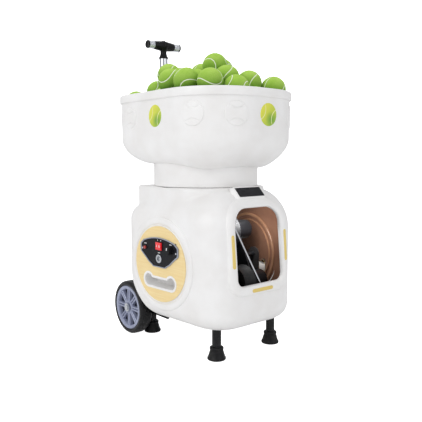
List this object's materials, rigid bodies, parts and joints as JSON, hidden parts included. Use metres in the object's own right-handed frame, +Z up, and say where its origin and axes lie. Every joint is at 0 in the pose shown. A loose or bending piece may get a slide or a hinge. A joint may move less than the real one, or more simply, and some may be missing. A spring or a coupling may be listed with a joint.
{
  "type": "tennis ball machine",
  "caption": "Wheeled tennis ball machine with a lift-off hopper of balls on a round neck, a launch window, side controls, carrying grips, rubber feet and a telescopic T-handle.",
  "frame": {"origin": "on the floor under the hopper neck's axis", "axes": "+Z up, the launch window faces -Y, the control panel is on the -X side"},
  "size_m": [0.37, 0.482, 0.8715],
  "materials": {
    "shell_white": "satin rotomoulded",
    "cream_trim": "satin printed film",
    "panel_black": "fine satin",
    "black_plastic": "satin",
    "bezel_silver": "satin silver",
    "bay_brown": "satin",
    "bright_metal": "polished",
    "rocker_red": "gloss translucent",
    "lamp_red": "gloss",
    "steel_plate": "satin zinc",
    "tube_black": "powder coat",
    "foot_rubber": "matt",
    "axle_steel": "ground",
    "rim_lavender": "metallic silver",
    "tyre_black": "gloss",
    "felt_lime": "felt",
    "throw_rubber": "ground",
    "motor_black": "satin",
    "nylon": "satin",
    "battery_case": "moulded",
    "board_green": "satin"
  },
  "bodies": {
    "chassis": {"body_shell": "shell_white", "window_frame": "shell_white", "window_strips": "cream_trim", "badge_plate": "panel_black", "bay_liner": "bay_brown", "guard_rod": "bright_metal", "side_disc_left": "cream_trim", "side_disc_right": "cream_trim", "grip_cup_left": "shell_white", "grip_cup_right": "shell_white", "panel_bezel": "bezel_silver", "control_panel": "panel_black", "charge_socket": "bright_metal", "panel_screws": "bright_metal", "base_plate": "steel_plate", "leg_front_left": "tube_black", "leg_front_right": "tube_black", "leg_rear_left": "tube_black", "leg_rear_right": "tube_black", "foot_front_left": "foot_rubber", "foot_front_right": "foot_rubber", "foot_rear_left": "foot_rubber", "foot_rear_right": "foot_rubber", "axle": "axle_steel", "axle_bracket_left": "tube_black", "axle_bracket_right": "tube_black", "axle_collars": "axle_steel", "handle_outer_tube": "tube_black", "handle_clamps": "black_plastic", "feed_floor": "black_plastic", "feed_motor": "axle_steel", "drop_chute": "black_plastic", "yaw_motor": "axle_steel", "battery": "battery_case", "control_box": "board_green"},
    "rocker": {"rocker_switch": "rocker_red"},
    "button": {"pairing_button": "lamp_red"},
    "knob": {"speed_knob": "black_plastic"},
    "wheel_left": {"wheel_rim_left": "rim_lavender", "tyre_left": "tyre_black", "hub_cap_left": "bright_metal"},
    "wheel_right": {"wheel_rim_right": "rim_lavender", "tyre_right": "tyre_black", "hub_cap_right": "bright_metal"},
    "handle": {"handle_inner_tube": "bright_metal", "handle_tee": "black_plastic", "grip_sleeves": "bright_metal", "grip_end_caps": "foot_rubber"},
    "release": {"release_button": "black_plastic"},
    "hopper": {"hopper": "shell_white"},
    "balls": {"ball_load": "felt_lime"},
    "feeder": {"feed_wheel": "black_plastic"},
    "turret": {"turntable": "steel_plate"},
    "pinion": {"yaw_pinion": "nylon"},
    "launcher": {"launcher_cradle": "steel_plate", "wheel_motor_upper": "motor_black", "wheel_motor_lower": "motor_black"},
    "throw_upper": {"throw_wheel_upper": "throw_rubber"},
    "throw_lower": {"throw_wheel_lower": "throw_rubber"}
  },
  "joints": [
    {"name": "rocker_tilt", "type": "hinge", "parent": "chassis", "child": "rocker", "pos_m": [-0.17141, -0.01533, 0.285], "axis": [0, 0, 1], "range_deg": [0, 14]},
    {"name": "button_press", "type": "slide", "parent": "chassis", "child": "button", "axis": [0.9961, 0.0879, 0], "range_m": [0, 0.0015], "stiffness_N_per_m": 500, "springref_m": -0.002},
    {"name": "knob_turn", "type": "hinge", "parent": "chassis", "child": "knob", "pos_m": [-0.16349, -0.06182, 0.278], "axis": [-0.9961, -0.0879, 0], "range_deg": [0, 270]},
    {"name": "wheel_left_spin", "type": "hinge", "parent": "chassis", "child": "wheel_left", "pos_m": [-0.148, 0.163, 0.078], "axis": [1, 0, 0], "continuous": true},
    {"name": "wheel_right_spin", "type": "hinge", "parent": "chassis", "child": "wheel_right", "pos_m": [0.148, 0.163, 0.078], "axis": [1, 0, 0], "continuous": true},
    {"name": "handle_slide", "type": "slide", "parent": "chassis", "child": "handle", "axis": [0, 0, 1], "range_m": [-0.06, 0.24]},
    {"name": "release_press", "type": "slide", "parent": "handle", "child": "release", "axis": [0, 0, -1], "range_m": [0, 0.003], "stiffness_N_per_m": 600, "springref_m": -0.002},
    {"name": "hopper_lift", "type": "slide", "parent": "chassis", "child": "hopper", "axis": [0, 0, 1], "range_m": [0, 0.15]},
    {"name": "ball_load_lift", "type": "slide", "parent": "hopper", "child": "balls", "axis": [0, 0, 1], "range_m": [0, 0.2]},
    {"name": "feed_wheel_spin", "type": "hinge", "parent": "chassis", "child": "feeder", "pos_m": [0, 0, 0.46], "axis": [0, 0, 1], "continuous": true},
    {"name": "turret_yaw", "type": "hinge", "parent": "chassis", "child": "turret", "pos_m": [0, -0.105, 0.1], "axis": [0, 0, 1], "range_deg": [-12, 12]},
    {"name": "yaw_pinion_spin", "type": "hinge", "parent": "chassis", "child": "pinion", "pos_m": [-0.06152, -0.04348, 0.1], "axis": [0, 0, 1], "range_deg": [-58, 58]},
    {"name": "launcher_tilt", "type": "hinge", "parent": "turret", "child": "launcher", "pos_m": [0, -0.105, 0.247], "axis": [-1, 0, 0], "range_deg": [-3, 10]},
    {"name": "throw_upper_spin", "type": "hinge", "parent": "launcher", "child": "throw_upper", "pos_m": [0, -0.07826, 0.31618], "axis": [1, 0, 0], "continuous": true},
    {"name": "throw_lower_spin", "type": "hinge", "parent": "launcher", "child": "throw_lower", "pos_m": [0, -0.14081, 0.18205], "axis": [1, 0, 0], "continuous": true}
  ],
  "couplings": [
    {"joint": "yaw_pinion_spin", "follows": "turret_yaw", "ratio": -4.8}
  ]
}
